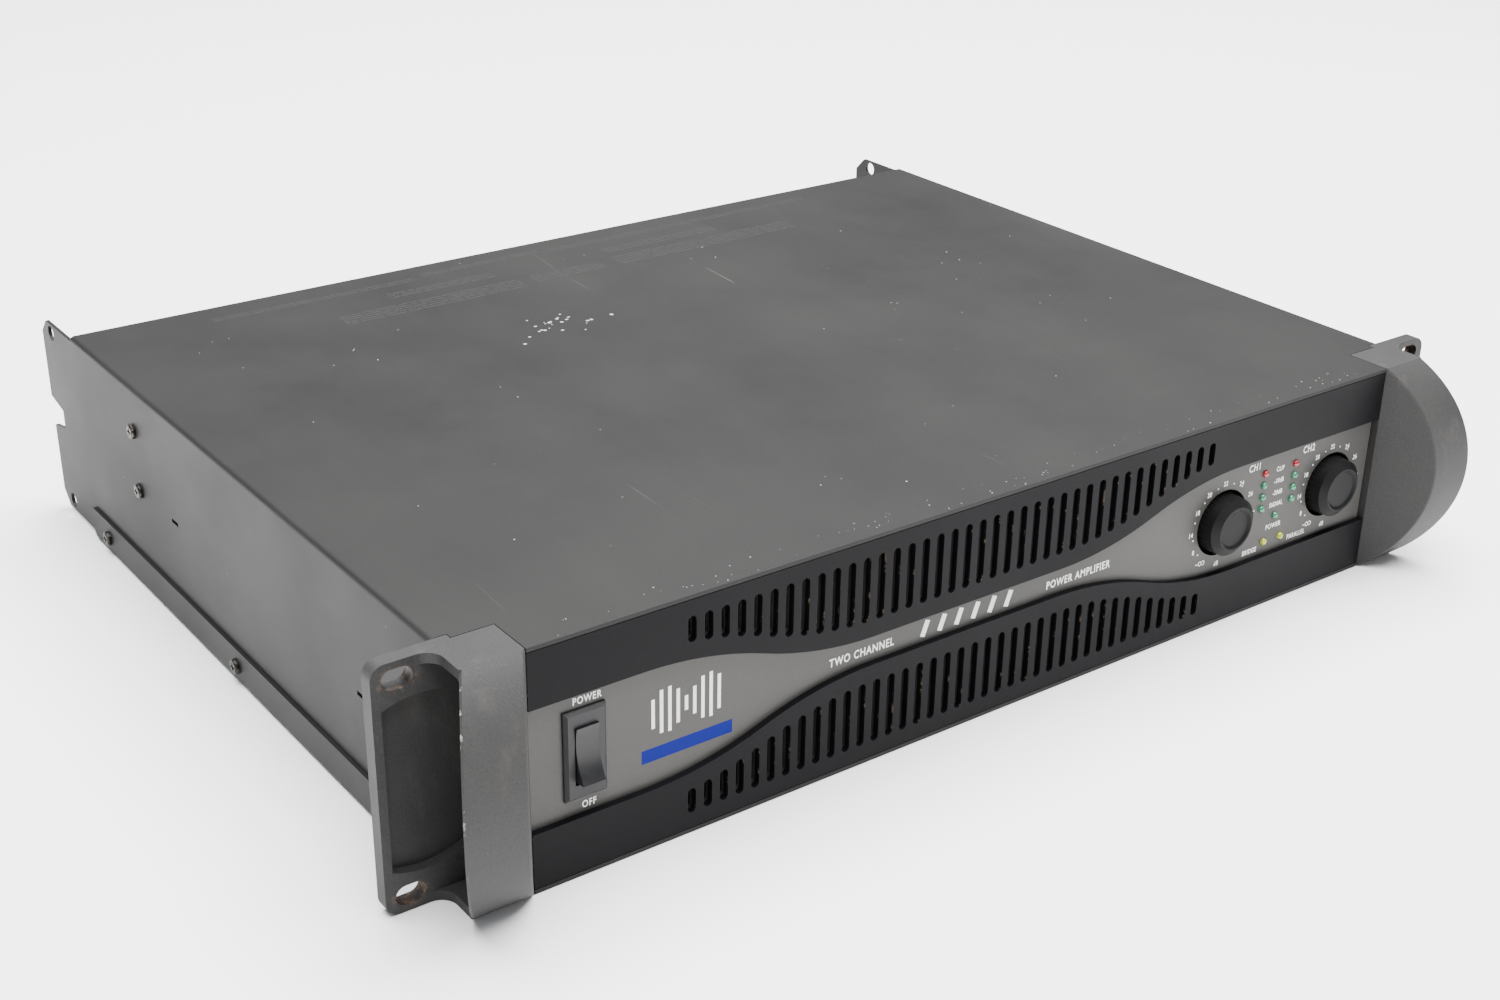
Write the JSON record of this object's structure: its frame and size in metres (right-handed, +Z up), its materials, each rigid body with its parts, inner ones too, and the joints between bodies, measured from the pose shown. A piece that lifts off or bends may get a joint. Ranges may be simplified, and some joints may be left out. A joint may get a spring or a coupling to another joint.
{
  "type": "rack power amplifier",
  "caption": "Two-channel rack power amplifier with cast half-moon handles, wave-shaped slotted grilles, gain knobs, lamps, rocker switch, fan and rear ears.",
  "frame": {"origin": "middle of the bounding box's underside, on the bottom pan's floor level", "axes": "+X to the right seen from the front, +Y towards the back, +Z up"},
  "size_m": [0.4826, 0.3806, 0.0881],
  "materials": {
    "case_paint": "charcoal textured powder coat on steel sheet",
    "grille_paint": "near-black satin powder coat",
    "panel_paint": "mid-grey satin paint with white print",
    "handle_paint": "grey powder coat on an aluminium casting",
    "zinc_steel": "bright zinc plate",
    "black_screw": "black zinc plate, worn at the recess",
    "black_moulding": "fine textured moulding",
    "knob_moulding": "soft satin moulding",
    "slider_moulding": "white moulding",
    "nickel": "nickel plate",
    "shaft_steel": "turned steel",
    "pot_case": "moulded potentiometer case",
    "lamp_red": "red diffused lens",
    "lamp_green": "green diffused lens",
    "lamp_yellow": "yellow diffused lens",
    "board_laminate": "glass-fibre laminate with green mask",
    "heatsink_aluminium": "plain extruded aluminium",
    "device_epoxy": "moulded epoxy",
    "ferrite": "sintered ferrite",
    "copper_winding": "enamelled copper wire",
    "capacitor_sleeve": "shrunk sleeve on aluminium cans",
    "gold_brass": "gold-flashed brass",
    "post_red": "clear-coated red moulding",
    "post_black": "black moulding"
  },
  "bodies": {
    "chassis": {"board_screws": "zinc_steel", "board_standoffs": "zinc_steel", "bottom_pan": "case_paint", "case_screws": "black_screw", "channel_board": "board_laminate", "clip_lamps": "lamp_red", "connector_screws": "black_screw", "control_board": "board_laminate", "fan_frame": "black_moulding", "fan_guard": "nickel", "fan_screws": "black_screw", "front_panel": "panel_paint", "gain_pots": "pot_case", "handle_screws": "zinc_steel", "heatsinks": "heatsink_aluminium", "inlet_pins": "nickel", "input_board": "board_laminate", "input_sockets": "nickel", "jack_nuts": "nickel", "jack_sockets": "black_moulding", "knob_wells": "black_moulding", "left_handle": "handle_paint", "level_lamps": "lamp_green", "lower_grille": "grille_paint", "mains_inlet": "black_moulding", "mode_lamps": "lamp_yellow", "output_inductors": "copper_winding", "post_bases": "black_moulding", "post_studs": "gold_brass", "pot_nuts": "zinc_steel", "power_board": "board_laminate", "power_lamp": "lamp_green", "power_switch_body": "black_moulding", "power_transistors": "device_epoxy", "rear_panel": "case_paint", "reservoir_capacitors": "capacitor_sleeve", "right_handle": "handle_paint", "selector_bodies": "black_moulding", "side_brackets": "zinc_steel", "speaker_sockets": "black_moulding", "switch_terminals": "nickel", "top_cover": "case_paint", "transformer_core": "ferrite", "transformer_winding": "copper_winding", "upper_grille": "grille_paint"},
    "rocker": {"power_rocker": "black_moulding"},
    "gain_control_1": {"gain_knob_1": "knob_moulding", "gain_shaft_1": "shaft_steel"},
    "gain_control_2": {"gain_knob_2": "knob_moulding", "gain_shaft_2": "shaft_steel"},
    "rotor": {"fan_rotor": "black_moulding"},
    "latch_1": {"latch_tab_1": "nickel"},
    "latch_2": {"latch_tab_2": "nickel"},
    "mode_selector": {"mode_slider": "slider_moulding"},
    "limiter_selector_1": {"limiter_slider_1": "slider_moulding"},
    "limiter_selector_2": {"limiter_slider_2": "slider_moulding"},
    "cap_1": {"post_cap_1": "post_red"},
    "cap_2": {"post_cap_2": "post_black"},
    "cap_3": {"post_cap_3": "post_red"},
    "cap_4": {"post_cap_4": "post_black"}
  },
  "joints": [
    {"name": "power_rocker_tilt", "type": "hinge", "parent": "chassis", "child": "rocker", "pos_m": [-0.17735, -0.16545, 0.04405], "axis": [1, 0, 0], "range_deg": [0, 20]},
    {"name": "gain_1_turn", "type": "hinge", "parent": "chassis", "child": "gain_control_1", "pos_m": [0.11215, -0.16645, 0.04275], "axis": [0, 1, 0], "range_deg": [-90, 210]},
    {"name": "gain_2_turn", "type": "hinge", "parent": "chassis", "child": "gain_control_2", "pos_m": [0.17455, -0.16645, 0.04275], "axis": [0, 1, 0], "range_deg": [-90, 210]},
    {"name": "fan_spin", "type": "hinge", "parent": "chassis", "child": "rotor", "pos_m": [-0.01, 0.14035, 0.04405], "axis": [0, 1, 0], "continuous": true},
    {"name": "latch_1_press", "type": "slide", "parent": "chassis", "child": "latch_1", "axis": [0, 0, -1], "range_m": [0, 0.0012], "stiffness_N_per_m": 400, "springref_m": -0.0008},
    {"name": "latch_2_press", "type": "slide", "parent": "chassis", "child": "latch_2", "axis": [0, 0, -1], "range_m": [0, 0.0012], "stiffness_N_per_m": 400, "springref_m": -0.0008},
    {"name": "mode_selector_slide", "type": "slide", "parent": "chassis", "child": "mode_selector", "axis": [1, 0, 0], "range_m": [0, 0.004]},
    {"name": "limiter_1_slide", "type": "slide", "parent": "chassis", "child": "limiter_selector_1", "axis": [1, 0, 0], "range_m": [0, 0.004]},
    {"name": "limiter_2_slide", "type": "slide", "parent": "chassis", "child": "limiter_selector_2", "axis": [1, 0, 0], "range_m": [0, 0.004]},
    {"name": "cap_1_unscrew", "type": "hinge", "parent": "chassis", "child": "cap_1", "pos_m": [-0.15978, 0.16635, 0.02305], "axis": [0, 1, 0], "range_deg": [0, 720]},
    {"name": "cap_2_unscrew", "type": "hinge", "parent": "chassis", "child": "cap_2", "pos_m": [-0.14072, 0.16635, 0.02305], "axis": [0, 1, 0], "range_deg": [0, 720]},
    {"name": "cap_3_unscrew", "type": "hinge", "parent": "chassis", "child": "cap_3", "pos_m": [-0.11478, 0.16635, 0.02305], "axis": [0, 1, 0], "range_deg": [0, 720]},
    {"name": "cap_4_unscrew", "type": "hinge", "parent": "chassis", "child": "cap_4", "pos_m": [-0.09573, 0.16635, 0.02305], "axis": [0, 1, 0], "range_deg": [0, 720]}
  ]
}
